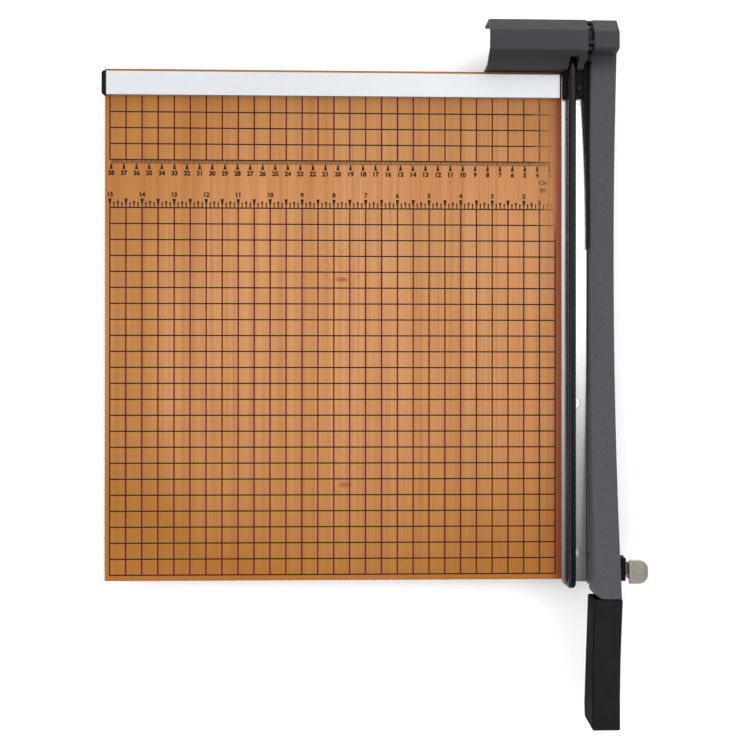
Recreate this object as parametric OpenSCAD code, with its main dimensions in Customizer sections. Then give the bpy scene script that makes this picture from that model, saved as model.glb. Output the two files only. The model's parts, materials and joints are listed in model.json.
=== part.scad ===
// Guillotine paper cutter: wooden bed, steel bed knife, bowed cast arm with a
// steel blade, spring-loaded pivot, finger guard, alignment rule and arm latch.
// Working axes: x runs right from the cutting edge, y runs back from the
// board's front edge, z runs up from the table. Heights called rise are
// measured from the top of the board. frame_shift moves the whole model so
// that the origin is under the middle of its box.

/* [Board] */
// Width of the board, from its left edge to the cutting edge
board_w = 385; // [300:1:470]
// Depth of the board, front to back
board_d = 407; // [380:1:440]
// Thickness of the board
board_t = 19; // [18:0.5:25]
// Height of the rubber feet
foot_h = 10; // [9:0.5:14]
// Diameter of a rubber foot
foot_d = 22; // [18:1:28]

/* [Bed plate and rule] */
// Width of the steel bed plate
plate_w = 20.4; // [19:0.2:24]
// Thickness of the bed plate
plate_t = 4; // [3:0.5:5]
// Width of the alignment rule, front to back
rule_d = 18.5; // [16:0.5:20]
// Height of the alignment rule
rule_t = 5; // [4.5:0.5:7]
// Strip of wood left bare behind the rule
rule_margin = 2.8; // [2:0.2:4]

/* [Finger guard] */
// Width and height of the guard bar
guard_w = 6; // [5:0.5:7]
// Gap between the board and the guard bar
guard_gap = 9; // [8:0.5:10]

/* [Arm] */
// Width of the cast arm
arm_w = 20.5; // [19:0.5:23]
// Radius of the bow along the top of the arm
arm_bow = 1190; // [1150:10:1300]
// Depth of the arm at its lowest point
arm_depth = 21.8; // [20:0.2:24]
// Width of the blade strip
blade_d = 20; // [18:1:22]
// Thickness of the blade
blade_t = 2.2; // [1.8:0.1:2.4]
// Length of the handle grip
grip_len = 105; // [95:1:120]

/* [Pivot] */
// Diameter of the pivot shaft
shaft_d = 12; // [10:1:12]
// Length of the pivot housing
housing_len = 77; // [74:1:90]
// Opening angle of the arm between its two stops
arm_swing = 62; // [50:1:64]

/* [Latch] */
// Reach of the thumb tab from the arm's right face
tab_reach = 25.2; // [23:0.2:28]
// Width of the thumb tab
tab_w = 19; // [16:1:19]

/* [Hidden] */
$fn = 64;

// Colours
wood = [0.80, 0.56, 0.33];
steel = [0.74, 0.75, 0.76];
dark_steel = [0.22, 0.22, 0.23];
coat = [0.33, 0.33, 0.35];
moulded = [0.12, 0.12, 0.13];
rubber = [0.08, 0.08, 0.08];
bronze = [0.62, 0.48, 0.26];

// Fits
slip = 0.05;     // screw shanks, bushings and the running shaft
gap = 0.4;       // faces of parts that move past each other
play = 0.1;      // pockets that hold a part

// Board and bed
board_top = foot_h + board_t;
board_right = -0.8;           // the board stops just short of the cutting edge
plate_over = 2;               // the plate stands proud of the board's front
plate_screw_x = -10;
plate_screw_y = [for (i = [0 : 3]) 21 + i * (board_d - 46) / 3];
wood_screw_r = 2;
foot_inset = 26;
foot_places = [for (x = [foot_inset - board_w, -foot_inset - 12],
                    y = [foot_inset, board_d - foot_inset]) [x, y]];

// Rule
rule_left = -board_w + 1.7;
rule_right = -plate_w - 2.2;
rule_back = board_d - rule_margin;
rule_front = rule_back - rule_d;
cap_over = 2;                 // the end cap stands proud of the board's side
cap_tongue = 6;
rule_mid_y = (rule_front + rule_back) / 2;
rule_screw_x = [for (i = [0 : 3]) rule_left + 30 + i * (rule_right - rule_left - 60) / 3];

// Pivot housing, outlined in y and rise
housing_right = -5.1;
housing_left = housing_right - housing_len;
housing_wall = 3;
housing_top = 34.5;
housing_skirt = -17;
housing_depth = 37.5;
housing_back = board_d + housing_depth;
end_web = 8;
mid_web = 6;
mid_web_x = -50;
pivot_y = board_d + 22;
pivot_rise = 15;
pivot_z = board_top + pivot_rise;
bush_r = shaft_d / 2 + 2;
flange_r = shaft_d / 2 + 4.5;
flange_t = 1.5;
housing_screw_x = [-74, -38, -24];
housing_screw_rise = -8;
housing_foot_x = -8;
housing_foot_y = board_d - 14;

// Guard bar
guard_left = -17;
guard_front = -6;
guard_rear = board_d + 10;
guard_leg = -18;              // rise of the lower end of its front leg
guard_bend = 6;               // outer radius of its bend
guard_pad = -5;               // below this the leg thickens to meet the board
guard_screw_rise = -12;
guard_slot = 0.8;             // room beside the bar where it enters the housing
foot_front = board_d - 21;    // the housing's forward foot
foot_right = -4.6;

// Arm, seen from the side: three bowed edges with one lowest point
dip_y = 258;
top_dip = 4.8;
arm_left = 0.8;
arm_right = arm_left + arm_w;
under_bow = 1690;
blade_left = 0.3;
blade_bow = 1634;
blade_low = -24;
blade_front = -3;
blade_back = board_d - 11;
nose_y = -11;
nose_r = 6.5;
blade_screw_y = [for (i = [0 : 4]) 20 + i * 88];
flare_y = 265;
flare_back = board_d + 8;
flare_bow = 1860;
hub_left = 0;
hub_right = 20.4;
hub_front = board_d + 10;
head_r = 10;
head_t = 5.4;

// Grip, outlined in y and rise
grip_side = 0.8;              // the grip is this much wider than the arm
grip_tip = nose_y - grip_len;
tang_x = [5, 17];
tang_len = grip_len - 18;
grip_screws_at = [[nose_y - 24, 15], [nose_y - 69, 7.5]];

// Stops: one pin on the hub swings between two pins on the housing
stop_pin_r = 2;
stop_orbit = 14;
stop_rest = -20;              // from straight up, towards the rear
stop_lead = 2 * asin((2 * stop_pin_r + gap) / 2 / stop_orbit);
stop_angles = [stop_rest - stop_lead, stop_rest + arm_swing + stop_lead];
stop_places = [for (a = stop_angles) on_orbit(a)];
hub_pin_at = on_orbit(stop_rest);
function on_orbit(a) = [pivot_y + stop_orbit * sin(a), pivot_z + stop_orbit * cos(a)];

// Spring on the shaft
spring_wire = 1.5;
spring_mean = 8.5;
spring_turns = 4;
spring_right = mid_web_x - flange_t - gap;
spring_left = spring_right - 13;
shaft_end = spring_left - 12;

// Latch: a bent lever on a pin along y, beside the arm
pin_x = arm_right + 4.7;
pin_z = board_top + 5;
pin_r = 1.6;
latch_y = [0.5, 18.5];
latch_ear = 4;
barrel_r = 3.4;
barrel_y = [latch_y[0] + latch_ear + 1.3, latch_y[1] - latch_ear - 0.5];
lever_t = 1.8;
lever_x = arm_right + 9.7;
lever_y = [1.5, 14.5];
tab_rise = 13;
tab_mid_y = 7.5;
tab_end = arm_right + tab_reach;
tongue_tip = 7;
tongue_rise = -17;
keeper_y = [-1, 12];
keeper_lip = [-9.7, -7.7];
keeper_reach = 6;
keeper_low = -17.5;
keeper_screw_z = board_top - 13.5;
keeper_screw_y = [keeper_y[0] + 3.5, keeper_y[1] - 3.5];
latch_mid_y = (latch_y[0] + latch_y[1]) / 2;
latch_screw_z = board_top + 12.5;
latch_face = pin_x + 2.5;
latch_cover = 9.6;            // rise of the underside of the bracket's cover

frame_shift = [(board_w + cap_over - tab_end) / 2, -(housing_back + grip_tip) / 2, 0];

// ---- Shared shapes ----

module placed(c) color(c) translate(frame_shift) children();

// A y-z outline carried along x
module along_x(x0, x1) translate([x0, 0, 0]) rotate([90, 0, 90]) linear_extrude(x1 - x0) children();

module rod_x(x0, x1, r, y, z) translate([x0, y, z]) rotate([0, 90, 0]) cylinder(h = x1 - x0, r = r);

module rod_y(y0, y1, r, x, z) translate([x, y0, z]) rotate([-90, 0, 0]) cylinder(h = y1 - y0, r = r);

module rod_z(z0, z1, r, x, y) translate([x, y, z0]) cylinder(h = z1 - z0, r = r);

module block(low, high) translate(low) cube(high - low);

// Cross recess sunk into a head whose top is at z = 0
module cross_recess(size) {
    for (a = [0, 90]) rotate([0, 0, a]) translate([-size / 2, -size / 10, -size / 3]) cube([size, size / 5, size]);
}

// Countersunk screw, head flush with z = 0, pointing down
module sunk_screw(head_r, r, len) {
    difference() {
        rotate_extrude() polygon([[0, 0], [head_r, 0], [head_r, -0.4], [r, -0.4 - head_r + r],
                                  [r, -len + 1.5 * r], [0, -len]]);
        cross_recess(head_r * 1.1);
    }
}

// The hole that the countersunk screw drops into
module sunk_hole(head_r, r, len) {
    rotate_extrude() polygon([[0, 1], [head_r + slip, 1], [head_r + slip, -0.4], [r + slip, -0.4 - head_r + r],
                              [r + slip, -len], [0, -len]]);
}

// Pan-head screw, underside of the head at z = 0, pointing down
module pan_screw(head_r, head_h, r, len) {
    difference() {
        rotate_extrude() polygon([[0, -len], [r, -len + 1.5 * r], [r, 0], [head_r, 0],
                                  [head_r, head_h * 0.55], [head_r * 0.75, head_h], [0, head_h]]);
        translate([0, 0, head_h]) cross_recess(head_r);
    }
}

// The space above a bowed edge whose lowest point has this rise
module above_bow(rise, radius) translate([dip_y, board_top + rise + radius]) circle(r = radius, $fn = 720);

function on_bow(y, rise, radius) = board_top + rise + radius - sqrt(radius * radius - (y - dip_y) * (y - dip_y));

// ---- Base ----

module board_screw_holes() {
    for (y = plate_screw_y) rod_z(foot_h + 3, board_top, wood_screw_r + slip, plate_screw_x, y);
    rod_z(foot_h + 3, board_top, wood_screw_r + slip, housing_foot_x, housing_foot_y);
    for (x = rule_screw_x) {
        rod_z(foot_h - 1, board_top + 1, wood_screw_r + slip, x, rule_mid_y);
        rod_z(foot_h - 1, foot_h + 6, 5, x, rule_mid_y);
    }
    for (p = foot_places) rod_z(foot_h - 1, foot_h + 13, wood_screw_r + slip, p[0], p[1]);
    for (x = housing_screw_x) rod_y(board_d - 16, board_d + 1, wood_screw_r + slip, x, board_top + housing_screw_rise);
    for (y = keeper_screw_y) rod_x(-18, 0, wood_screw_r + slip, y, keeper_screw_z);
    rod_y(-1, 16, wood_screw_r + slip, guard_left + guard_w / 2, board_top + guard_screw_rise);
}

module base_board() placed(wood) difference() {
    block([-board_w, 0, foot_h], [board_right, board_d, board_top]);
    block([-plate_w, -1, board_top - plate_t], [1, board_d + 1, board_top + 1]);
    board_screw_holes();
}

module bed_plate() placed(steel) difference() {
    block([-plate_w, -plate_over, board_top - plate_t], [0, board_d - 1, board_top]);
    for (y = plate_screw_y) translate([plate_screw_x, y, board_top]) sunk_hole(4.5, wood_screw_r, plate_t + 1);
    rod_z(0, board_top + 1, wood_screw_r + slip, housing_foot_x, housing_foot_y);
}

module bed_plate_screws() placed(steel) {
    for (y = plate_screw_y) translate([plate_screw_x, y, board_top]) sunk_screw(4.5, wood_screw_r, 15);
}

module rubber_feet() placed(rubber) {
    for (p = foot_places) translate([p[0], p[1], 0]) rotate_extrude()
        polygon([[5, 0], [foot_d / 2 - 1, 0], [foot_d / 2 + 1, foot_h], [wood_screw_r + slip, foot_h],
                 [wood_screw_r + slip, 5], [5, 5]]);
}

module foot_screws() placed(steel) {
    for (p = foot_places) translate([p[0], p[1], 5]) rotate([180, 0, 0]) pan_screw(4, 2.6, wood_screw_r, 16);
}

// ---- Alignment rule ----

module ruler_bar() placed([0.86, 0.87, 0.88]) difference() {
    block([rule_left, rule_front, board_top], [rule_right, rule_back, board_top + rule_t]);
    block([rule_left - 1, rule_front + 4, board_top + 1.4],
          [rule_left + cap_tongue + 0.2, rule_back - 4, board_top + rule_t - 1.4]);
    for (x = rule_screw_x) rod_z(0, board_top + rule_t - 1.2, wood_screw_r + slip, x, rule_mid_y);
}

module ruler_end_cap() placed(moulded) union() {
    translate([0, 0, board_top]) linear_extrude(rule_t + 0.5)
        polygon([[rule_left, rule_front - 0.5], [rule_left - 2.2, rule_front - 0.5], [-board_w - cap_over, rule_front + 1],
                 [-board_w - cap_over, rule_back - 1], [rule_left - 2.2, rule_back + 0.5], [rule_left, rule_back + 0.5]]);
    block([rule_left - 1, rule_front + 4.1, board_top + 1.5],
          [rule_left + cap_tongue, rule_back - 4.1, board_top + rule_t - 1.5]);
}

module ruler_screws() placed(steel) {
    for (x = rule_screw_x) translate([x, rule_mid_y, foot_h + 6]) rotate([180, 0, 0])
        pan_screw(4, 2.6, wood_screw_r, board_t - 6 + rule_t - 1.6);
}

// ---- Finger guard ----

module guard_side() {
    top = board_top + guard_gap + guard_w;
    translate([guard_front + guard_bend, board_top + guard_gap])
        square([guard_rear - guard_front - guard_bend, guard_w]);
    leg_top = top - guard_bend;
    translate([guard_front, board_top + guard_leg]) square([-plate_over - guard_front, leg_top - board_top - guard_leg]);
    translate([guard_front, board_top + guard_leg]) square([-guard_front, guard_pad - guard_leg]);
    intersection() {
        translate([guard_front + guard_bend, leg_top]) circle(r = guard_bend);
        translate([guard_front, leg_top]) square(guard_bend);
    }
}

module finger_guard() placed(moulded) difference() {
    along_x(guard_left, guard_left + guard_w) guard_side();
    translate([guard_left + guard_w / 2, guard_front, board_top + guard_screw_rise]) rotate([90, 0, 0]) sunk_hole(2.8, 1.5, 8);
}

module guard_screw() placed(steel) {
    translate([guard_left + guard_w / 2, guard_front, board_top + guard_screw_rise]) rotate([90, 0, 0])
        sunk_screw(2.8, 1.5, 20);
}

// ---- Pivot housing ----

function housing_outline(t) = [
    [board_d + t, housing_skirt - t / 10], [board_d + t, 13], [board_d + 5.5 + t, 24],
    [board_d + 10 + 0.7 * t, housing_top - t], [board_d + 25.5 - 0.4 * t, housing_top - t],
    [board_d + 36.5 - t, 24 - 0.4 * t], [housing_back - t, -t / 10]];

module raised() translate([0, board_top]) children();

module pivot_housing() placed(coat) difference() {
    union() {
        along_x(housing_left, housing_right) raised() difference() {
            polygon(housing_outline(0));
            polygon(concat(housing_outline(housing_wall), [[board_d + housing_wall, housing_skirt - 9]]));
        }
        for (x = [housing_right - end_web, mid_web_x])
            along_x(x, x + (x == mid_web_x ? mid_web : end_web)) raised()
                intersection() {
                    polygon(housing_outline(0.5));
                    translate([board_d, 0]) square([60, 60]);
                }
        block([-plate_w + 0.4, foot_front, board_top], [foot_right, board_d + 1, board_top + guard_gap]);
    }
    block([guard_left - guard_slot, board_d - 1, board_top + guard_gap],
          [guard_left + guard_w + guard_slot, guard_rear + 1.5, board_top + 27]);
    rod_x(housing_left - 1, housing_right + 1, bush_r + slip, pivot_y, pivot_z);
    for (p = stop_places) rod_x(housing_right - 6, 0, stop_pin_r + slip, p[0], p[1]);
    for (x = housing_screw_x) rod_y(board_d - 1, board_d + 5, wood_screw_r + slip, x, board_top + housing_screw_rise);
    rod_z(0, board_top + 99, wood_screw_r + slip, housing_foot_x, housing_foot_y);
}

module travel_stop_pins() placed(dark_steel) {
    for (p = stop_places) rod_x(housing_right - 6, -0.5, stop_pin_r, p[0], p[1]);
}

module housing_screws() placed(steel) {
    for (x = housing_screw_x) translate([x, board_d + housing_wall, board_top + housing_screw_rise]) rotate([-90, 0, 0])
        pan_screw(3.6, 2.4, wood_screw_r, 17);
}

module housing_foot_screw() placed(dark_steel) {
    translate([housing_foot_x, housing_foot_y, board_top + guard_gap]) pan_screw(2.6, 1.6, wood_screw_r, 22);
}

module bushing(x0, x1, flange_x) {
    difference() {
        union() {
            rod_x(x0, x1, bush_r, pivot_y, pivot_z);
            rod_x(flange_x, flange_x + flange_t, flange_r, pivot_y, pivot_z);
        }
        rod_x(x0 - 5, x1 + 5, shaft_d / 2 + slip, pivot_y, pivot_z);
    }
}

module pivot_bushings() placed(bronze) {
    bushing(housing_right - end_web, housing_right, housing_right);
    bushing(mid_web_x, mid_web_x + mid_web, mid_web_x - flange_t);
}

// ---- Arm ----

module arm_side() difference() {
    intersection() {
        translate([nose_y, 0]) square([hub_front - nose_y + 3, board_top + 60]);
        above_bow(top_dip - arm_depth, under_bow);
    }
    above_bow(top_dip, arm_bow);
}

module hub_side() raised() polygon([[hub_front - 4, 14], [hub_front, 16], [hub_front + 2, 31], [board_d + 26, 31],
                                    [housing_back, 20], [housing_back, 3], [board_d + 29, -8], [hub_front - 4, -9]]);

// Rounded left corner of the arm's front end, seen from above
module nose_plan() {
    translate([arm_left, nose_y + nose_r]) square([arm_w, hub_front - nose_y]);
    translate([arm_left + nose_r, nose_y]) square([arm_w - nose_r, nose_r + 1]);
    translate([arm_left + nose_r, nose_y + nose_r]) circle(r = nose_r);
}

// The hub flares over the rear of the bed plate
module heel_flare() intersection() {
    translate([0, 0, board_top + 1.5]) linear_extrude(5.5) difference() {
        translate([-4.2, flare_y]) square([6, flare_back - flare_y]);
        translate([-flare_bow, flare_y]) circle(r = flare_bow, $fn = 720);
    }
    along_x(-5, 5) arm_side();
}

module tang_side(grow) raised() polygon([
    [nose_y + 1, 11 - grow], [nose_y + 1, 27 + grow],
    [nose_y - tang_len - grow, 14 + grow], [nose_y - tang_len - grow, -1 - grow]]);

module arm_casting() placed(coat) difference() {
    union() {
        intersection() {
            along_x(arm_left, arm_right) arm_side();
            linear_extrude(board_top + 60) nose_plan();
        }
        along_x(hub_left, hub_right) hub_side();
        heel_flare();
        along_x(tang_x[0], tang_x[1]) tang_side(0);
    }
    along_x(-1, blade_left + blade_t) difference() {
        translate([blade_front - play, 0]) square([blade_back - blade_front + 2 * play, board_top + 60]);
        above_bow(blade_low + blade_d + play, blade_bow - blade_d - play);
    }
    rod_x(-1, hub_right + 1, shaft_d / 2 + slip, pivot_y, pivot_z);
    rod_x(hub_right - head_t, hub_right + 1, head_r + slip, pivot_y, pivot_z);
    rod_x(-1, 6, stop_pin_r + slip, hub_pin_at[0], hub_pin_at[1]);
    rod_y(pivot_y, housing_back + 1, 2.5 + slip, 10, pivot_z);
    for (y = blade_screw_y) rod_x(0, 14, 2 + slip, y, blade_screw_z(y));
    for (p = grip_screws_at) rod_x(8, 20, 1.9 + slip, p[0], board_top + p[1]);
    rod_x(arm_right - 10, arm_right + 1, 1.5 + slip, latch_mid_y, latch_screw_z);
}

function blade_screw_z(y) = on_bow(y, blade_low + 14, blade_bow - 10);

module blade() placed(steel) difference() {
    along_x(blade_left, blade_left + blade_t) difference() {
        intersection() {
            translate([blade_front, 0]) square([blade_back - blade_front, board_top + 60]);
            above_bow(blade_low, blade_bow);
        }
        above_bow(blade_low + blade_d, blade_bow - blade_d);
    }
    for (y = blade_screw_y) translate([blade_left, y, blade_screw_z(y)]) rotate([0, -90, 0]) sunk_hole(3.6, 2, 6);
}

module blade_screws() placed(dark_steel) {
    for (y = blade_screw_y) translate([blade_left, y, blade_screw_z(y)]) rotate([0, -90, 0])
        sunk_screw(3.6, 2, 13);
}

module pivot_shaft() placed(steel) difference() {
    union() {
        rod_x(shaft_end, hub_right - head_t, shaft_d / 2, pivot_y, pivot_z);
        rod_x(hub_right - head_t, hub_right - 0.6, head_r, pivot_y, pivot_z);
    }
    translate([hub_right - 3.4, pivot_y, pivot_z]) rotate([0, 90, 0]) cylinder(h = 5, r = 4.6, $fn = 6);
}

module thrust_washer() placed(dark_steel) difference() {
    rod_x(housing_right + flange_t + gap, hub_left, flange_r, pivot_y, pivot_z);
    rod_x(housing_right, hub_left + 1, shaft_d / 2 + slip, pivot_y, pivot_z);
}

module hub_stop_pin() placed(dark_steel)
    rod_x(housing_right + 0.5, 6, stop_pin_r, hub_pin_at[0], hub_pin_at[1]);

module hub_set_screw() placed(dark_steel) difference() {
    rod_y(pivot_y + shaft_d / 2 + 0.1, housing_back - 3, 2.5, 10, pivot_z);
    translate([10, housing_back - 5.5, pivot_z]) rotate([-90, 0, 0]) cylinder(h = 5, r = 1.4, $fn = 6);
}

// A round wire carried round the shaft; both ends are cut square
function wire_ring(t, sides) = let (a = 360 * spring_turns * t, x = spring_left + spring_wire
        + (spring_right - spring_left - 2 * spring_wire) * t)
    [for (i = [0 : sides - 1]) let (r = spring_mean + spring_wire * cos(i * 360 / sides))
        [x + spring_wire * sin(i * 360 / sides), pivot_y + r * sin(a), pivot_z + r * cos(a)]];

module tension_spring() placed(steel) {
    sides = 8;
    rings = 16 * spring_turns;
    points = [for (k = [0 : rings]) each wire_ring(k / rings, sides)];
    skin = [for (k = [0 : rings - 1], i = [0 : sides - 1]) let (j = (i + 1) % sides)
        [k * sides + i, k * sides + j, (k + 1) * sides + j, (k + 1) * sides + i]];
    near_end = [[for (i = [0 : sides - 1]) sides - 1 - i]];
    far_end = [[for (i = [0 : sides - 1]) rings * sides + i]];
    polyhedron(points, concat(skin, near_end, far_end), convexity = 6);
}

module spring_washer() placed(steel) difference() {
    rod_x(spring_left - 2, spring_left, 11, pivot_y, pivot_z);
    rod_x(spring_left - 3, spring_left + 1, shaft_d / 2 + slip, pivot_y, pivot_z);
}

module lock_nut() placed(steel) difference() {
    translate([spring_left - 10, pivot_y, pivot_z]) rotate([0, 90, 0]) cylinder(h = 8, r = 10.4, $fn = 6);
    rod_x(spring_left - 11, spring_left, shaft_d / 2 + slip, pivot_y, pivot_z);
}

// ---- Grip ----

module grip_side_view() raised() polygon([
    [nose_y, 34.4], [nose_y - 22, 30.6], [nose_y - 50, 26.2], [nose_y - 80, 24.2], [grip_tip, 25],
    [grip_tip + 3, -9], [grip_tip + 14, -10.8], [nose_y - 50, -4.4], [nose_y, 4]]);

module handle_grip() placed(moulded) difference() {
    along_x(arm_left - grip_side, arm_right + grip_side) grip_side_view();
    along_x(tang_x[0] - 0.1, tang_x[1] + 0.1) tang_side(0.1);
    for (p = grip_screws_at) {
        rod_x(tang_x[1], arm_right + 5, 1.9 + slip, p[0], board_top + p[1]);
        rod_x(arm_right - 2, arm_right + 5, 4, p[0], board_top + p[1]);
    }
}

module grip_screws() placed(dark_steel) {
    for (p = grip_screws_at) translate([arm_right - 2, p[0], board_top + p[1]]) rotate([0, 90, 0])
        pan_screw(3.5, 2.2, 1.9, 11);
}

// ---- Latch ----

// The bracket from the front, in x and height
module bracket_face() polygon([
    [arm_right, board_top + 16], [latch_face - 1.5, board_top + 16], [latch_face, board_top + 14.5],
    [latch_face, pin_z - 3.5], [arm_right, pin_z - 5]]);

module bracket_slice(y0, y1) translate([0, y0, 0]) rotate([90, 0, 0]) mirror([0, 0, 1])
    linear_extrude(y1 - y0) bracket_face();

module latch_bracket() placed(moulded) difference() {
    union() {
        bracket_slice(latch_y[0], latch_y[0] + latch_ear);
        bracket_slice(latch_y[1] - latch_ear, latch_y[1]);
        intersection() {
            bracket_slice(latch_y[0], latch_y[1]);
            block([arm_right, latch_y[0], board_top + latch_cover], [latch_face, latch_y[1], board_top + 16]);
        }
    }
    rod_y(latch_y[0] - 1, latch_y[1] + 1, pin_r + slip, pin_x, pin_z);
    translate([latch_face, latch_mid_y, latch_screw_z]) rotate([0, 90, 0]) sunk_hole(2.8, 1.5, 9);
}

module latch_bracket_screws() placed(dark_steel) {
    translate([latch_face, latch_mid_y, latch_screw_z]) rotate([0, 90, 0]) sunk_screw(2.8, 1.5, 16);
}

module latch_pin() placed(steel) rod_y(latch_y[0] - 1.6, latch_y[1] + 1.6, pin_r, pin_x, pin_z);

module latch_pin_clips() placed(dark_steel) {
    for (y = [latch_y[0] - 1, latch_y[1] + 0.2]) difference() {
        rod_y(y, y + 0.8, 2.8, pin_x, pin_z);
        rod_y(y - 1, y + 2, pin_r + slip, pin_x, pin_z);
    }
}

module latch_friction_washer() placed(bronze) difference() {
    rod_y(latch_y[0] + latch_ear, latch_y[0] + latch_ear + 0.9, barrel_r, pin_x, pin_z);
    rod_y(latch_y[0], latch_y[0] + 9, pin_r + slip, pin_x, pin_z);
}

// The thumb tab seen from above: square at the bend, rounded outside
module tab_plan() {
    round_r = tab_w / 2 - 1;
    translate([lever_x, tab_mid_y - tab_w / 2]) square([tab_end - lever_x - round_r, tab_w]);
    intersection() {
        translate([tab_end - tab_w / 2 - 1, tab_mid_y]) circle(r = tab_w / 2 + 1);
        translate([lever_x, tab_mid_y - tab_w / 2]) square([tab_end - lever_x, tab_w]);
    }
}

module latch_lever() placed(steel) difference() {
    union() {
        block([lever_x, lever_y[0], board_top + tongue_rise],
              [lever_x + lever_t, lever_y[1], board_top + tab_rise + 3]);
        translate([0, 0, board_top + tab_rise]) linear_extrude(lever_t) tab_plan();
        block([tongue_tip, lever_y[0], board_top + tongue_rise],
              [lever_x + 0.5, lever_y[1] - 3.5, board_top + tongue_rise + 2]);
        rod_y(barrel_y[0], barrel_y[1], barrel_r, pin_x, pin_z);
        block([pin_x, barrel_y[0], pin_z - barrel_r], [lever_x + 0.5, barrel_y[1], pin_z - barrel_r + 2]);
        block([pin_x, barrel_y[0], pin_z + barrel_r - 2], [lever_x + 0.5, barrel_y[1], pin_z + barrel_r]);
    }
    rod_y(barrel_y[0] - 1, barrel_y[1] + 1, pin_r + slip, pin_x, pin_z);
}

module latch_keeper() placed(dark_steel) difference() {
    union() {
        block([board_right, keeper_y[0] + 1, board_top + keeper_low],
              [board_right + 2, keeper_y[1], board_top + keeper_lip[1]]);
        block([board_right, keeper_y[0] + 1, board_top + keeper_lip[0]],
              [keeper_reach, keeper_y[1], board_top + keeper_lip[1]]);
    }
    for (y = keeper_screw_y) translate([board_right + 2, y, keeper_screw_z]) rotate([0, 90, 0])
        sunk_hole(2.4, 1.5, 3);
}

module keeper_screws() placed(steel) {
    for (y = keeper_screw_y) translate([board_right + 2, y, keeper_screw_z]) rotate([0, 90, 0])
        sunk_screw(2.4, 1.5, 12);
}

base_board();
bed_plate();
bed_plate_screws();
ruler_bar();
ruler_end_cap();
ruler_screws();
finger_guard();
guard_screw();
pivot_housing();
housing_screws();
housing_foot_screw();
pivot_bushings();
travel_stop_pins();
rubber_feet();
foot_screws();
latch_keeper();
keeper_screws();
arm_casting();
blade();
blade_screws();
pivot_shaft();
thrust_washer();
tension_spring();
spring_washer();
lock_nut();
hub_stop_pin();
hub_set_screw();
handle_grip();
grip_screws();
latch_bracket();
latch_bracket_screws();
latch_pin();
latch_pin_clips();
latch_friction_washer();
latch_lever();
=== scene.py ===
"""The looks of a guillotine paper cutter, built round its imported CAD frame.

Shapes are drawn in the cutter's own millimetres: x runs right from the cutting
edge, y runs back from the board's front edge, and rise is the height above the
top of the board. Pieces are turned into metres in the shared frame when they
are put in the scene.
"""

import json
import math

import bmesh
import bpy
from mathutils import Euler, Matrix, Vector


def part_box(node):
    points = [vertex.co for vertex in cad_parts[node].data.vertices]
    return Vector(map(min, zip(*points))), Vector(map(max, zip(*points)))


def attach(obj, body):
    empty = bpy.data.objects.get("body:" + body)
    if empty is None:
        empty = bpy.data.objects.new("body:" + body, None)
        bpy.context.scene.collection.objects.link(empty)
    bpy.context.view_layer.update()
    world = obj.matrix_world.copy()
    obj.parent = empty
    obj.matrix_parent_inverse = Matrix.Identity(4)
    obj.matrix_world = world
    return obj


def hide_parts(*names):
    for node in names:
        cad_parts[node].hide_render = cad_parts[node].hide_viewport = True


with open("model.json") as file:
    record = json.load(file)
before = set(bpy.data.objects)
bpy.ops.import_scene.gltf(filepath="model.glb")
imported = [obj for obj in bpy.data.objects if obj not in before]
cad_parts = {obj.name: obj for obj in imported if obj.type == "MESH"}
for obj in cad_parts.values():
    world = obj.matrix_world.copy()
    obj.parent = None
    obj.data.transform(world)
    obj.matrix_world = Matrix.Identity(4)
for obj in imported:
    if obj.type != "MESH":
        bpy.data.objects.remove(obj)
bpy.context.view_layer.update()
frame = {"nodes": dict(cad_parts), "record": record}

scene = bpy.context.scene

# ---- Places, from the frame ----

MM = 0.001
INCH = 25.4
board_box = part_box("base_board")
plate_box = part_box("bed_plate")
ORIGIN = Vector((plate_box[1].x, board_box[0].y, board_box[1].z))
TO_FRAME = Matrix.Translation(ORIGIN) @ Matrix.Scale(MM, 4)


def span(node):
    """(lowest corner, highest corner) of a CAD node in the cutter's millimetres."""
    return [(corner - ORIGIN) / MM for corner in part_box(node)]


plate_lo, plate_hi = span("bed_plate")
guard_lo, guard_hi = span("finger_guard")
housing_lo, housing_hi = span("pivot_housing")
blade_lo, blade_hi = span("blade")
grip_lo, grip_hi = span("handle_grip")
shaft_lo, shaft_hi = span("pivot_shaft")
feet_lo, feet_hi = span("rubber_feet")
spring_lo, spring_hi = span("tension_spring")
lever_lo, lever_hi = span("latch_lever")
pin_lo, pin_hi = span("latch_pin")

PIVOT_Y = (shaft_lo.y + shaft_hi.y) / 2
PIVOT_RISE = (shaft_lo.z + shaft_hi.z) / 2
BOARD_DEPTH = span("base_board")[1].y
RULE_FRONT = span("ruler_bar")[0].y
SEAM = 0.02                    # how far faces that meet are kept apart

# ---- Solids ----


def side(u, v, depth):
    """An outline in y and rise, carried along x."""
    return depth, u, v


def plan(u, v, depth):
    """An outline in x and y, carried upwards."""
    return u, v, depth


def front(u, v, depth):
    """An outline in x and rise, carried along y."""
    return u, depth, v


def rounded(outline, radius, steps=4):
    """The outline with its corners turned into arcs; radius is one number or one for each corner."""
    count = len(outline)
    radii = radius if isinstance(radius, list) else [radius] * count
    result = []
    for i, r in enumerate(radii):
        corner = Vector(outline[i])
        to_last = Vector(outline[i - 1]) - corner
        to_next = Vector(outline[(i + 1) % count]) - corner
        half = to_last.angle(to_next) / 2
        if r <= 0 or half > math.radians(89):
            result.append(tuple(corner))
            continue
        reach = min(r / math.tan(half), 0.49 * to_last.length, 0.49 * to_next.length)
        a = corner + to_last.normalized() * reach
        b = corner + to_next.normalized() * reach
        middle = corner + (to_last.normalized() + to_next.normalized()).normalized() * reach / math.cos(half)
        for k in range(steps + 1):
            ray = (a - middle).lerp(b - middle, k / steps).normalized()
            result.append(tuple(middle + ray * reach * math.tan(half)))
    return result


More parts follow.
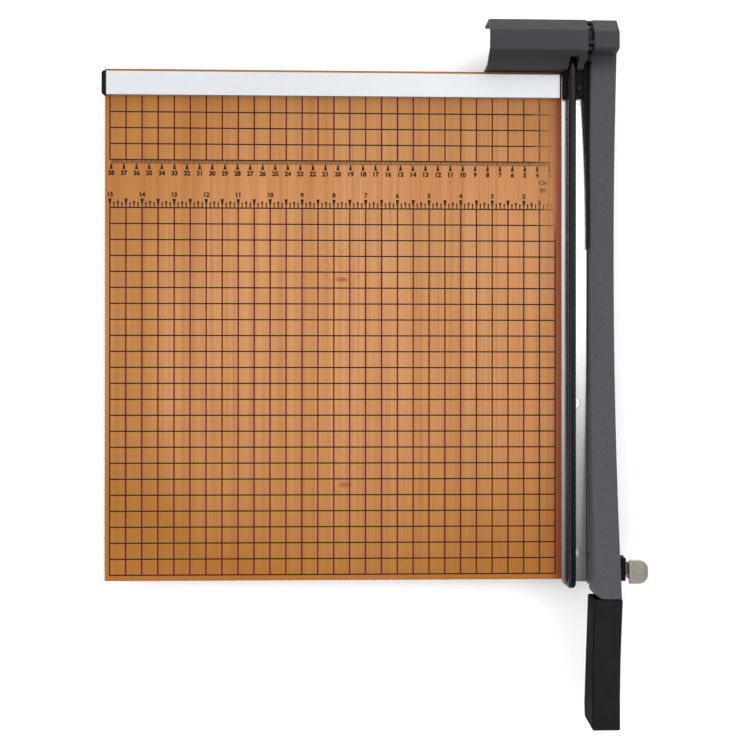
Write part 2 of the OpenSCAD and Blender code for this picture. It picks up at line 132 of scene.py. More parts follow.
def loft(rings, closed=False):
    """A solid skinned over rings that all have the same number of points."""
    bm = bmesh.new()
    verts = [[bm.verts.new(p) for p in ring] for ring in rings]
    count = len(rings[0])
    for k in range(len(rings) if closed else len(rings) - 1):
        near, far = verts[k], verts[(k + 1) % len(rings)]
        for i in range(count):
            j = (i + 1) % count
            bm.faces.new((near[i], near[j], far[j], far[i]))
    if not closed:
        bm.faces.new(verts[0])
        bm.faces.new(verts[-1][::-1])
    bmesh.ops.recalc_face_normals(bm, faces=bm.faces)
    return bm


def prism(outline, low, high, place):
    """An outline carried from low to high, in the direction that place gives it."""
    return loft([[place(u, v, depth) for u, v in outline] for depth in (low, high)])


def block(low, high):
    """A box between two opposite corners."""
    corners = [(low[0], low[1]), (high[0], low[1]), (high[0], high[1]), (low[0], high[1])]
    return prism(corners, low[2], high[2], plan)


def turned(profile, centre, axis, steps=48):
    """A lathe part: a closed outline of (radius, distance along the axis), turned round centre."""
    rings = []
    for k in range(steps):
        a = 2 * math.pi * k / steps
        c, s = math.cos(a), math.sin(a)
        spun = {"x": lambda r, d: (d, r * c, r * s), "y": lambda r, d: (r * s, d, r * c),
                "z": lambda r, d: (r * c, r * s, d)}[axis]
        rings.append([Vector(centre) + Vector(spun(r, d)) for r, d in profile])
    return loft(rings, closed=True)


def rod(axis, start, end, radius, centre, steps=48):
    """A plain round bar or hole along an axis, through centre."""
    circle = [(radius * math.cos(2 * math.pi * k / steps), radius * math.sin(2 * math.pi * k / steps))
              for k in range(steps)]
    places = {"x": (side, centre[1], centre[2]), "y": (front, centre[0], centre[2]),
              "z": (plan, centre[0], centre[1])}
    place, u0, v0 = places[axis]
    return prism([(u0 + u, v0 + v) for u, v in circle], start, end, place)


def soften(bm, width, angle=30, steps=2):
    """Rounds every edge that turns by more than angle degrees."""
    sharp = [e for e in bm.edges if len(e.link_faces) == 2 and e.calc_face_angle() > math.radians(angle)]
    bmesh.ops.bevel(bm, geom=sharp, offset=width, segments=steps, profile=0.5, affect="EDGES",
                    clamp_overlap=True)
    return bm


def joined(*solids):
    """Several solids side by side in one mesh."""
    result = bmesh.new()
    for bm in solids:
        mesh = bpy.data.meshes.new("work")
        bm.to_mesh(mesh)
        bm.free()
        result.from_mesh(mesh)
        bpy.data.meshes.remove(mesh)
    return result


def boolean(body, tool, operation):
    """The exact union or difference of two solids."""
    objects = []
    for bm in (body, tool):
        mesh = bpy.data.meshes.new("work")
        bm.to_mesh(mesh)
        bm.free()
        objects.append(bpy.data.objects.new("work", mesh))
        scene.collection.objects.link(objects[-1])
    modifier = objects[0].modifiers.new("work", "BOOLEAN")
    modifier.operation = operation
    modifier.solver = "EXACT"
    modifier.object = objects[1]
    evaluated = objects[0].evaluated_get(bpy.context.evaluated_depsgraph_get())
    result = bmesh.new()
    result.from_mesh(evaluated.to_mesh())
    evaluated.to_mesh_clear()
    for o in objects:
        mesh = o.data
        bpy.data.objects.remove(o)
        bpy.data.meshes.remove(mesh)
    return result


def cut(body, *tools):
    """The body with every tool taken out of it."""
    for tool in tools:
        body = boolean(body, tool, "DIFFERENCE")
    return body


def union(body, *others):
    """The body and the others as one solid."""
    for other in others:
        body = boolean(body, other, "UNION")
    return body


# ---- Materials ----


class Finish:
    """A material, with short calls that add nodes to it and join them."""

    def __init__(self, name, colour, roughness, **sockets):
        self.material = bpy.data.materials.new(name)
        self.material.use_nodes = True
        self.tree = self.material.node_tree
        self.shader = self.tree.nodes["Principled BSDF"]
        self.shader.inputs["Base Color"].default_value = (*colour, 1)
        self.shader.inputs["Roughness"].default_value = roughness
        for socket, value in sockets.items():
            self.shader.inputs[socket.replace("_", " ")].default_value = value
        self.where = self.add("ShaderNodeTexCoord").outputs["Object"]

    def add(self, kind, inputs=(), **settings):
        """A node of that kind; inputs is pairs of socket and value or output."""
        node = self.tree.nodes.new(kind)
        for name, value in settings.items():
            setattr(node, name, value)
        for socket, value in inputs:
            if isinstance(value, bpy.types.NodeSocket):
                self.tree.links.new(value, node.inputs[socket])
            else:
                node.inputs[socket].default_value = value
        return node

    def sum(self, operation, a, b=0.0, clamp=False):
        """Arithmetic on one or two values."""
        return self.add("ShaderNodeMath", [(0, a), (1, b)], operation=operation, use_clamp=clamp).outputs[0]

    def cutter_xy(self):
        """The shaded point's x and y, in the cutter's millimetres."""
        part = self.add("ShaderNodeSeparateXYZ", [(0, self.where)]).outputs
        return [self.sum("MULTIPLY", self.sum("SUBTRACT", part[i], ORIGIN[i]), 1 / MM) for i in (0, 1)]

    def ellipse(self, u, v, radii):
        """0 at the middle of an ellipse and 1 at its rim."""
        squares = [self.sum("POWER", self.sum("DIVIDE", w, r), 2.0) for w, r in zip((u, v), radii)]
        return self.sum("ADD", *squares)

    def noise(self, size, detail=3.0, rough=0.5):
        """Noise whose grains are about size millimetres, one number or one for each axis."""
        sizes = size if isinstance(size, tuple) else (size,) * 3
        scaled = self.add("ShaderNodeMapping", [("Vector", self.where),
                                                ("Scale", tuple(1 / (s * MM) for s in sizes))])
        return self.add("ShaderNodeTexNoise", [("Vector", scaled.outputs[0]), ("Scale", 1.0),
                                               ("Detail", detail), ("Roughness", rough)]).outputs["Fac"]

    def stretch(self, value, low, high, to_low=0.0, to_high=1.0, smooth=False):
        """Moves a value from one range to another, and stops at its ends."""
        kind = "SMOOTHSTEP" if smooth else "LINEAR"
        return self.add("ShaderNodeMapRange", [("Value", value), ("From Min", low), ("From Max", high),
                                               ("To Min", to_low), ("To Max", to_high)],
                        interpolation_type=kind).outputs["Result"]

    def blend(self, factor, a, b):
        """A colour that goes from a to b."""
        a, b = [(*c, 1) if isinstance(c, tuple) else c for c in (a, b)]
        node = self.add("ShaderNodeMix", data_type="RGBA")
        for socket, value in ((0, factor), (6, a), (7, b)):
            if isinstance(value, bpy.types.NodeSocket):
                self.tree.links.new(value, node.inputs[socket])
            else:
                node.inputs[socket].default_value = value
        return node.outputs[2]

    def colour(self, value):
        """Colours the material by a node's output."""
        self.tree.links.new(value, self.shader.inputs["Base Color"])

    def roughness(self, value):
        """Roughens the material by a node's output."""
        self.tree.links.new(value, self.shader.inputs["Roughness"])

    def bump(self, height, depth, strength=1.0):
        """Height from 0 to 1 becomes a relief that is depth millimetres deep."""
        node = self.add("ShaderNodeBump", [("Height", height), ("Distance", depth * MM),
                                           ("Strength", strength)])
        self.tree.links.new(node.outputs[0], self.shader.inputs["Normal"])


def worn(finish, colour, light, size, amount):
    """Gives a finish its drifting tone: patches of that size lean towards the lighter colour."""
    patch = finish.stretch(finish.noise(size, 4.0, 0.6), 0.35, 0.7, 0.0, amount)
    finish.colour(finish.blend(patch, colour, light))


def metal(name, colour, roughness, grain, depth=0.01, spread=0.08, light=1.25):
    """Bare metal with a machined or drawn grain; grain is the size of its streaks along x, y and z."""
    finish = Finish(name, colour, roughness, Metallic=1.0)
    streak = finish.noise(grain, 4.0, 0.65)
    finish.roughness(finish.stretch(streak, 0.3, 0.7, max(roughness - spread, 0.04), roughness + spread))
    finish.bump(streak, depth)
    worn(finish, colour, tuple(min(c * light, 1.0) for c in colour), 18.0, 0.6)
    return finish.material


def moulded(name, colour, light, roughness, grain, depth, specular=0.5):
    """Plastic, rubber or paint with an even fine texture."""
    finish = Finish(name, colour, roughness, Specular_IOR_Level=specular)
    speck = finish.noise(grain, 2.0, 0.5)
    finish.bump(speck, depth)
    drift = finish.noise(35.0, 3.0, 0.6)
    finish.roughness(finish.stretch(drift, 0.3, 0.7, roughness - 0.05, roughness + 0.06))
    mottle = finish.sum("ADD", finish.stretch(speck, 0.35, 0.65, 0.0, 0.5),
                        finish.stretch(drift, 0.35, 0.65, 0.0, 0.5))
    finish.colour(finish.blend(mottle, colour, light))
    return finish.material


# Knots in the board: (x, y) in the cutter's millimetres
KNOTS = [(-197.0, 240.0), (-194.0, 76.0)]
KNOT_SPREAD, KNOT_EYE = (26.0, 34.0), (7.0, 2.6)   # half widths along x and y
KNOT_LEAN = 12.0               # how far behind its eye a knot's growth lines are centred
# Painted light: the wood is drawn paler round this lit middle, fading out over these reaches
LIT_MIDDLE_X, LIT_MIDDLE_Y = -170.0, 215.0
LIGHT_REACH_X, LIGHT_REACH_Y = 260.0, 215.0
WOOD_PALE = (0.435, 0.200, 0.078)
WOOD_DEEP = (0.275, 0.098, 0.009)
WOOD_STREAK = (0.225, 0.066, 0.016)
WOOD_EDGE = (0.17, 0.022, 0.003)


def wood():
    """Lacquered wood: fine streaks along y, broad bands, a paler middle painted as light, and two faint
    knots.
    """
    finish = Finish("lacquered_wood", WOOD_PALE, 0.5, Coat_Weight=0.08, Coat_Roughness=0.3,
                    Specular_IOR_Level=0.2)
    x, y = finish.cutter_xy()

    # Painted light: the tone is palest in the lit middle of the board and falls away towards its front, left
    # and rear
    wander = finish.stretch(finish.noise((60.0, 160.0, 60.0), 2.0), 0.3, 0.7, -40.0, 40.0)
    from_lit_middle = finish.sum("ADD", finish.sum("SUBTRACT", x, LIT_MIDDLE_X), wander)
    across = finish.sum("DIVIDE", from_lit_middle, LIGHT_REACH_X)
    along = finish.sum("DIVIDE", finish.sum("SUBTRACT", y, LIT_MIDDLE_Y), LIGHT_REACH_Y)
    away = finish.sum("ADD", finish.sum("MULTIPLY", across, across), finish.sum("MULTIPLY", along, along))
    tone = finish.blend(finish.stretch(away, 0.05, 1.1, 0.0, 1.0), WOOD_PALE, WOOD_DEEP)

    # Streaks: broad bands, growth lines and fibres, all drawn out along y
    band = finish.stretch(finish.noise((20.0, 1200.0, 60.0), 3.0), 0.38, 0.66, 0.0, 0.34)
    line = finish.stretch(finish.noise((2.6, 480.0, 12.0), 4.0, 0.7), 0.45, 0.68, 0.0, 0.5)
    fibre = finish.stretch(finish.noise((0.7, 40.0, 3.0), 3.0, 0.7), 0.4, 0.75, 0.0, 0.30)
    tone = finish.blend(band, tone, WOOD_DEEP)
    tone = finish.blend(line, tone, WOOD_STREAK)
    tone = finish.blend(fibre, tone, WOOD_STREAK)

    # Each knot: a small dark eye, and growth lines that rise from it in a V
    for knot_x, knot_y in KNOTS:
        dx = finish.sum("ABSOLUTE", finish.sum("SUBTRACT", x, knot_x))
        dy = finish.sum("SUBTRACT", y, knot_y)
        far = finish.ellipse(dx, finish.sum("SUBTRACT", dy, KNOT_LEAN), KNOT_SPREAD)
        near = finish.stretch(far, 0.1, 1.0, 1.0, 0.0, smooth=True)
        vee = finish.sum("SUBTRACT", dy, finish.sum("MULTIPLY", dx, 1.25))
        wave = finish.sum("SINE", finish.sum("ADD", finish.sum("MULTIPLY", vee, 0.55),
                                             finish.sum("MULTIPLY", finish.noise(14.0), 5.0)))
        rings = finish.sum("MULTIPLY", finish.stretch(wave, 0.2, 1.0, 0.0, 0.15), near)
        tone = finish.blend(rings, tone, WOOD_STREAK)
        eye = finish.ellipse(dx, dy, KNOT_EYE)
        tone = finish.blend(finish.stretch(eye, 0.0, 1.0, 0.85, 0.0, smooth=True), tone, WOOD_STREAK)

    # A darker, redder strip beside the bed plate
    strip = finish.stretch(x, plate_lo.x - 9, plate_lo.x - 1.5, 0.0, 0.92, smooth=True)
    tone = finish.blend(strip, tone, WOOD_EDGE)
    finish.colour(tone)
    relief = finish.noise((0.5, 30.0, 3.0), 3.0, 0.7)
    finish.bump(relief, 0.012, 0.6)
    finish.roughness(finish.stretch(finish.noise((6.0, 90.0, 20.0)), 0.3, 0.7, 0.42, 0.58))
    return finish.material


INK_TONE = (0.010, 0.003, 0.002)
INK_THIN_X = (-48.0, -22.0)    # the ink thins out between these, to match the photo
INK_THIN_Y = (262.0, 300.0)    # and only from here to the rear


def ink():
    """Screen-printed ink, a little thin at the right-hand end of the scales."""
    finish = Finish("printed_ink", INK_TONE, 0.6, Specular_IOR_Level=0.1)
    x, y = finish.cutter_xy()
    right = finish.stretch(finish.sum("ADD", x, finish.stretch(finish.noise(9.0), 0.3, 0.7, -5.0, 5.0)),
                           *INK_THIN_X, 0.0, 0.55, smooth=True)
    rear = finish.stretch(y, *INK_THIN_Y, smooth=True)
    patchy = finish.stretch(finish.noise(4.0, 4.0, 0.7), 0.4, 0.8, 0.0, 0.06)
    thin = finish.sum("ADD", finish.sum("MULTIPLY", right, rear), patchy, clamp=True)
    finish.colour(finish.blend(thin, INK_TONE, WOOD_PALE))
    return finish.material


# Painted shade: the coat darkens between these two depths and stays dark from there to the rear, over the hub
# and the hood. The tone is only matched to the photo.
PIVOT_SHADE_SPAN = (400.0, 414.0)
COAT_IN_PIVOT_SHADE = (0.026, 0.0245, 0.028)


def coated_casting():
    """Grey powder coat: a fine pebbled skin, with painted shade darkening it round the pivot."""
    base, light = (0.037, 0.036, 0.0405), (0.053, 0.052, 0.058)
    finish = Finish("powder_coat", base, 0.55, Specular_IOR_Level=0.18)
    pebble = finish.noise(0.9, 2.0, 0.6)
    drift = finish.noise(42.0, 4.0, 0.6)
    finish.bump(pebble, 0.05, 0.7)
    finish.roughness(finish.stretch(drift, 0.3, 0.7, 0.48, 0.62))
    tone = finish.blend(finish.stretch(pebble, 0.35, 0.65), base, light)
    tone = finish.blend(finish.stretch(drift, 0.35, 0.7, 0.0, 0.35), tone, light)
    # Painted shade over the hub and the hood round the pivot
    pivot_shade = finish.stretch(finish.cutter_xy()[1], *PIVOT_SHADE_SPAN, smooth=True)
    finish.colour(finish.blend(pivot_shade, tone, COAT_IN_PIVOT_SHADE))
    return finish.material


def grip_plastic():
    """Matt black plastic, with painted light on top and painted shade down its sides. The tones are only
    matched to the photo.
    """
    finish = Finish("grip_plastic", (0.012, 0.012, 0.013), 0.65, Specular_IOR_Level=0.02)
    shape = finish.add("ShaderNodeTexCoord").outputs["Normal"]
    lit_from_above = finish.add("ShaderNodeSeparateXYZ", [(0, shape)]).outputs[2]
    speck = finish.noise(0.6, 2.0, 0.5)
    finish.bump(speck, 0.03)
    drift = finish.noise(35.0, 3.0, 0.6)
    finish.roughness(finish.stretch(drift, 0.3, 0.7, 0.58, 0.7))
    top = finish.blend(finish.stretch(drift, 0.35, 0.65), (0.009, 0.009, 0.0095), (0.013, 0.013, 0.014))
    # Painted light and shade: faces turned up get the lit tone, faces turned to the side are painted near
    # black as shade
    finish.colour(finish.blend(finish.stretch(lit_from_above, 0.55, 0.95), (0.001, 0.001, 0.001), top))
    return finish.material


def bed_steel():
    """Ground and polished steel, with the grinding lines along the plate."""
    base = (0.44, 0.435, 0.42)
    finish = Finish("ground_steel", base, 0.28, Metallic=1.0)
    line = finish.noise((0.25, 60.0, 0.25), 4.0, 0.7)
    finish.bump(line, 0.002, 0.5)
    finish.roughness(finish.stretch(finish.noise((2.0, 120.0, 2.0), 4.0, 0.6), 0.3, 0.7, 0.17, 0.24))
    worn(finish, base, (0.53, 0.53, 0.52), (8.0, 50.0, 8.0), 0.5)
    return finish.material


MATERIALS = {
    "wood_board": wood(),
    "bed_steel": bed_steel(),
    # Painted shade: the blade steel is made near black, standing in for the shade down the arm's left side
    "blade_steel": metal("blade_steel", (0.06, 0.06, 0.063), 0.36, (40.0, 0.3, 0.3)),
    "screw_steel": metal("zinc_plate", (0.62, 0.62, 0.61), 0.25, (0.6, 0.6, 0.6)),
    "spring_steel": metal("oiled_spring_steel", (0.30, 0.30, 0.31), 0.3, (0.8, 0.8, 0.8)),
    # Partly painted shade: black oxide steel, made darker still to stand in for the shade in the gap between
    # the hub and the hood
    "dark_steel": metal("black_oxide_and_shade", (0.02, 0.02, 0.022), 0.5, (0.5, 0.5, 0.5), light=1.6),
    "rule_aluminium": metal("anodised_aluminium", (0.49, 0.50, 0.51), 0.5, (60.0, 0.25, 0.25),
                            depth=0.003, spread=0.05, light=1.04),
    "moulded_black": moulded("moulded_black", (0.004, 0.004, 0.0045), (0.006, 0.006, 0.0065),
                             0.55, 0.5, 0.02, 0.05),
    "guard_black": moulded("gloss_black_paint", (0.003, 0.0028, 0.003), (0.004, 0.0042, 0.005),
                           0.2, 1.4, 0.01, 0.14),
    "coated_casting": coated_casting(),
    "grip_black": grip_plastic(),
    "bronze": metal("bearing_bronze", (0.07, 0.042, 0.018), 0.45, (0.5, 0.5, 0.5)),
    "rubber": moulded("rubber", (0.013, 0.013, 0.013), (0.022, 0.022, 0.022), 0.75, 0.4, 0.04, 0.3),
    "latch_nickel": metal("brushed_nickel", (0.37, 0.345, 0.285), 0.32, (9.0, 0.3, 0.3), 0.008),
}
INK = ink()

# ---- Putting pieces in the scene ----


def piece(name, bm, body, slot, replaced=(), material=None, edge=0.0, crease=32):
    """Turns a solid into a piece that rides on a CAD body and stands for the CAD nodes it replaces.
    edge is the radius of its rounded edges; without one, edges that turn by crease degrees stay crisp."""
    bmesh.ops.remove_doubles(bm, verts=bm.verts, dist=1e-4)
    bmesh.ops.transform(bm, matrix=TO_FRAME, verts=bm.verts)
    mesh = bpy.data.meshes.new(name)
    bm.to_mesh(mesh)
    bm.free()
    mesh.polygons.foreach_set("use_smooth", [True] * len(mesh.polygons))
    mesh.materials.append(material or MATERIALS[slot])
    obj = bpy.data.objects.new(name, mesh)
    scene.collection.objects.link(obj)
    if edge:
        round_edges(obj, edge)
    else:
        mesh.set_sharp_from_angle(angle=math.radians(crease))
        flat_faces(obj)
    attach(obj, body)
    if replaced:
        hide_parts(*replaced)
    return obj


def round_edges(obj, radius, angle=35):
    """Rounds an object's edges with a bevel, and keeps its flat faces looking flat."""
    bevel = obj.modifiers.new("rounded_edges", "BEVEL")
    bevel.width = radius * MM
    bevel.segments = 3
    bevel.limit_method = "ANGLE"
    bevel.angle_limit = math.radians(angle)
    bevel.use_clamp_overlap = True
    flat_faces(obj)


def flat_faces(obj):
    """Keeps large flat faces looking flat where they meet a rounded edge."""
    normals = obj.modifiers.new("flat_faces", "WEIGHTED_NORMAL")
    normals.keep_sharp = True


# ---- Printing on the board ----

INK_HEIGHT = 0.03
LINE = 1.0                     # width of a printed line
LETTER_SWELL = 0.05            # how far letters are fattened, in the font's own units
GRID_STEP = INCH / 2
GRID_FRONT = 4.6               # the front grid line, behind the board's front edge
GRID_RIGHT_STEP, GRID_LEFT_STEP = 2, 30
LOWER_STEPS = 23               # half inches from the front line to the inch scale
UPPER_STEP = 26                # half inches from the front line to the centimetre scale
UPPER_LINES = 4
LAST_INCH = 15
FIRST_CM, LAST_CM = 3, 38
UNITS_X, UNITS_HEIGHT = -35.2, 3.8
# For marks every so many eighths of an inch: what mark() needs as tip, top and width
INCH_MARKS = ((4, (1.6, 7.2, 2.6)), (2, (2.0, 5.3, 1.9)), (1, (2.0, 4.4, 1.3)))
inch_scale_y = GRID_FRONT + LOWER_STEPS * GRID_STEP
cm_scale_y = GRID_FRONT + UPPER_STEP * GRID_STEP
grid_xs = [-k * GRID_STEP for k in range(GRID_LEFT_STEP, GRID_RIGHT_STEP - 1, -1)]


def lattice(xs, ys, last_y=None):
    """Crossing ink lines as one closed solid. With last_y, the lines along y run on to it."""
    across = [x + s * LINE / 2 for x in xs for s in (-1, 1)]
    along = [y + s * LINE / 2 for y in ys for s in (-1, 1)] + ([last_y] if last_y else [])
    columns, rows = len(across) - 1, len(along) - 1
    bm = bmesh.new()
    verts = {}

    def vert(i, j, top):
        if (i, j, top) not in verts:
            verts[i, j, top] = bm.verts.new((across[i], along[j], INK_HEIGHT if top else 0.0))
        return verts[i, j, top]

    def inked(i, j):
        return 0 <= i < columns and 0 <= j < rows and (i % 2 == 0 or j % 2 == 0)

    for i in range(columns):
        for j in range(rows):
            if not inked(i, j):
                continue
            corners = [(i, j), (i + 1, j), (i + 1, j + 1), (i, j + 1)]
            bm.faces.new([vert(a, b, True) for a, b in corners])
            bm.faces.new([vert(a, b, False) for a, b in corners[::-1]])
            for k, beside in enumerate([(i, j - 1), (i + 1, j), (i, j + 1), (i - 1, j)]):
                if not inked(*beside):
                    a, b = corners[k], corners[(k + 1) % 4]
                    bm.faces.new([vert(*a, False), vert(*b, False), vert(*b, True), vert(*a, True)])
    return bm


def mark(x, y, direction, tip, top, width, line=LINE * 0.8):
    """One scale mark: a thin line from the scale, then a triangle that opens to width from tip to top."""
    outline = [(-line / 2, LINE / 2), (line / 2, LINE / 2), (line / 2, tip), (width / 2, top),
               (-width / 2, top), (-line / 2, tip)]
    return prism([(x + u, y + direction * v) for u, v in outline], 0.0, INK_HEIGHT, plan)


def arrow(x, y, direction, apex, base, width):
    """One centimetre mark: a thin line, then an arrowhead that points back at the scale."""
    outline = [(-0.15, LINE / 2), (0.15, LINE / 2), (0.2, apex), (width / 2, base), (-width / 2, base),
               (-0.2, apex)]
    return prism([(x + u, y + direction * v) for u, v in outline], 0.0, INK_HEIGHT, plan)


def lettering(text, x, y, height):
    """Text as a thin solid, centred on x, with its feet at y."""
    curve = bpy.data.curves.new("work", "FONT")
    curve.body = text
    curve.align_x = "CENTER"
    curve.extrude = 0.5
    curve.resolution_u = 4
    curve.offset = LETTER_SWELL
    obj = bpy.data.objects.new("work", curve)
    scene.collection.objects.link(obj)
    evaluated = obj.evaluated_get(bpy.context.evaluated_depsgraph_get())
    bm = bmesh.new()
    bm.from_mesh(evaluated.to_mesh())
    evaluated.to_mesh_clear()
    bpy.data.objects.remove(obj)
    bpy.data.curves.remove(curve)
    bmesh.ops.remove_doubles(bm, verts=bm.verts, dist=1e-4)
    low, high = [f(v.co.y for v in bm.verts) for f in (min, max)]
    scale = height / (high - low)
    bmesh.ops.transform(bm, verts=bm.verts, matrix=Matrix.Translation((x, y - low * scale, INK_HEIGHT / 2))
                        @ Matrix.Diagonal((scale, scale, INK_HEIGHT, 1)))
    return bm


def printing():
    """The half-inch grid in two parts, and the inch and centimetre scales between them."""
    lower = lattice(grid_xs, [GRID_FRONT + k * GRID_STEP for k in range(LOWER_STEPS + 1)])
    upper = lattice(grid_xs, [cm_scale_y + k * GRID_STEP for k in range(UPPER_LINES)], RULE_FRONT)
    piece("printed_grid", joined(lower, upper), "root", None, material=INK)

    inch_marks = []
    for eighth in range(8, 8 * LAST_INCH + 1):
        sizes = next(sizes for every, sizes in INCH_MARKS if eighth % every == 0)
        inch_marks.append(mark(-eighth * INCH / 8, inch_scale_y, 1, *sizes))
    inch_marks += [lettering(str(n), -n * INCH, inch_scale_y + 8.6, 3.9) for n in range(1, LAST_INCH + 1)]
    inch_marks.append(lettering("IN", UNITS_X, GRID_FRONT + 305.6, UNITS_HEIGHT))
    piece("inch_scale", joined(*inch_marks), "root", None, material=INK)

    cm_marks = []
    for tenth in range(10 * FIRST_CM, 10 * LAST_CM + 1):
        if tenth % 10 == 0:
            cm_marks.append(arrow(-tenth, cm_scale_y, -1, 2.4, 7.6, 2.5))
        else:
            cm_marks.append(mark(-tenth, cm_scale_y, -1, 1.2, 3.3, 0.46, 0.46))
    cm_marks += [lettering(str(n), -10 * n, cm_scale_y - 12.6, 4.1) for n in range(FIRST_CM, LAST_CM + 1)]
    cm_marks.append(lettering("CM", UNITS_X, GRID_FRONT + 311.8, UNITS_HEIGHT))
    piece("centimetre_scale", joined(*cm_marks), "root", None, material=INK)


# ---- Bed plate ----

PLATE_RELIEF = 0.4             # how far the plate's left edge is ground away
RELIEF_WIDTH = 6.5
PLATE_SCREWS = 4
SCREW_HEAD_R = 4.5
WOOD_SCREW_HOLE_R = 2.05


def bed_plate():
    """The ground plate: a crisp cutting edge on the right, eased down towards the wood on the left."""
    low = plate_lo.z
    outline = [(plate_lo.x, low), (plate_hi.x, low), (plate_hi.x, -0.2), (plate_hi.x - 0.2, 0.0)]
    steps = 6
    for k in range(steps + 1):
        t = k / steps
        outline.append((plate_lo.x + RELIEF_WIDTH * (1 - t), -PLATE_RELIEF * t * t))
    plate = soften(prism(outline, plate_lo.y, plate_hi.y, front), 0.25, 60)
    screws_lo, screws_hi = span("bed_plate_screws")
    first, last = screws_lo.y + SCREW_HEAD_R, screws_hi.y - SCREW_HEAD_R
    foot_screw = sum(span("housing_foot_screw"), Vector()) / 2
    head = SCREW_HEAD_R + 0.12
    sink = [(0.01, 1), (head + 0.1, 1), (head + 0.1, 0), (head, -0.45), (2.1, -2.95), (2.1, -6), (0.01, -6)]
    for k in range(PLATE_SCREWS):
        centre = ((screws_lo.x + screws_hi.x) / 2, first + (last - first) * k / (PLATE_SCREWS - 1), 0)
        plate = cut(plate, turned(sink, centre, "z", 48))
    plate = cut(plate, rod("z", low - 1, 1, WOOD_SCREW_HOLE_R, foot_screw, 24))
    piece("ground_plate", plate, "root", "bed_steel", ["bed_plate"], crease=20)


# ---- Finger guard ----

GUARD_GAP = 9.0                # between the board and the bar
GUARD_BEND = 6.0
GUARD_ROUND = 2.3
FOOT_PROUD = 0.5               # how far the foot stands out past the hood on the right
GUARD_SLOT = 0.8               # room beside the bar where it enters the hood


def guard_section(width, height):
    """The bar's section, with soft corners, as offsets across and outwards."""
    return rounded([(-width / 2, -height / 2), (width / 2, -height / 2), (width / 2, height / 2),
                    (-width / 2, height / 2)], GUARD_ROUND, 5)


def finger_guard():
    """The black bar beside the blade, which bends down at the front to a screwed leg."""
    middle_x = (guard_lo.x + guard_hi.x) / 2
    width = guard_hi.x - guard_lo.x
    bar_mid = (GUARD_GAP + guard_hi.z) / 2
    bar_t = guard_hi.z - GUARD_GAP
    leg_t = plate_lo.y - guard_lo.y
    leg_mid = guard_lo.y + leg_t / 2
    centre = Vector((guard_lo.y + GUARD_BEND, guard_hi.z - GUARD_BEND))
    stations = [((guard_hi.y, bar_mid), (0.0, 1.0), bar_t), ((centre.x + 8, bar_mid), (0.0, 1.0), bar_t)]
    steps = 10
    for k in range(steps + 1):
        turn = math.pi / 2 * k / steps
        out = Vector((-math.sin(turn), math.cos(turn)))
        thick = bar_t + (leg_t - bar_t) * k / steps
        middle = centre + out * (GUARD_BEND - thick / 2)
        stations.append((tuple(middle), tuple(out), thick))
    stations += [((leg_mid, 4.0), (-1.0, 0.0), leg_t), ((leg_mid, guard_lo.z + 1.5), (-1.0, 0.0), leg_t),
                 ((leg_mid, guard_lo.z), (-1.0, 0.0), leg_t - 1.6)]
    rings = []
    for (y, rise), (out_y, out_rise), thick in stations:
        shrink = thick / leg_t if thick < leg_t else 1.0
        rings.append([(middle_x + u * shrink, y + out_y * v, rise + out_rise * v)
                      for u, v in guard_section(width, thick)])
    bar = loft(rings)
    pad = soften(block((guard_lo.x + 0.6, guard_lo.y + 1.0, guard_lo.z + 0.4),
                       (guard_hi.x - 0.6, -SEAM, -5.0)), 0.4)
    screw_lo, screw_hi = span("guard_screw")
    screw_mid = (screw_lo + screw_hi) / 2
    sink = turned([(0.01, -9), (2.95, -9), (2.95, -5.55), (1.6, -4.2), (1.6, 1), (0.01, 1)],
                  (screw_mid.x, 0, screw_mid.z), "y", 32)
    bar = cut(union(bar, pad), sink)
    piece("finger_guard_bar", bar, "root", "guard_black", ["finger_guard"])


# ---- Pivot housing ----

HOUSING_WALL = 3.0
WEB_OUTER, WEB_INNER = 8.0, 6.0
INNER_WEB_X = -50.0
SHELL_BEND = 1.6
FOOT_DEPTH = 21
BUSHING_R = 8.05


def shell_outline(t):
    """The hood's side view in y and rise, t inside its outer face; it is open below."""
    return [(BOARD_DEPTH + t, housing_lo.z), (BOARD_DEPTH + t, 13.0), (BOARD_DEPTH + 5.5 + t, 24.0),
            (BOARD_DEPTH + 10 + 0.7 * t, housing_hi.z - t), (BOARD_DEPTH + 25.5 - 0.4 * t, housing_hi.z - t),
            (BOARD_DEPTH + 36.5 - t, 24 - 0.4 * t), (housing_hi.y - t, 0.0)]


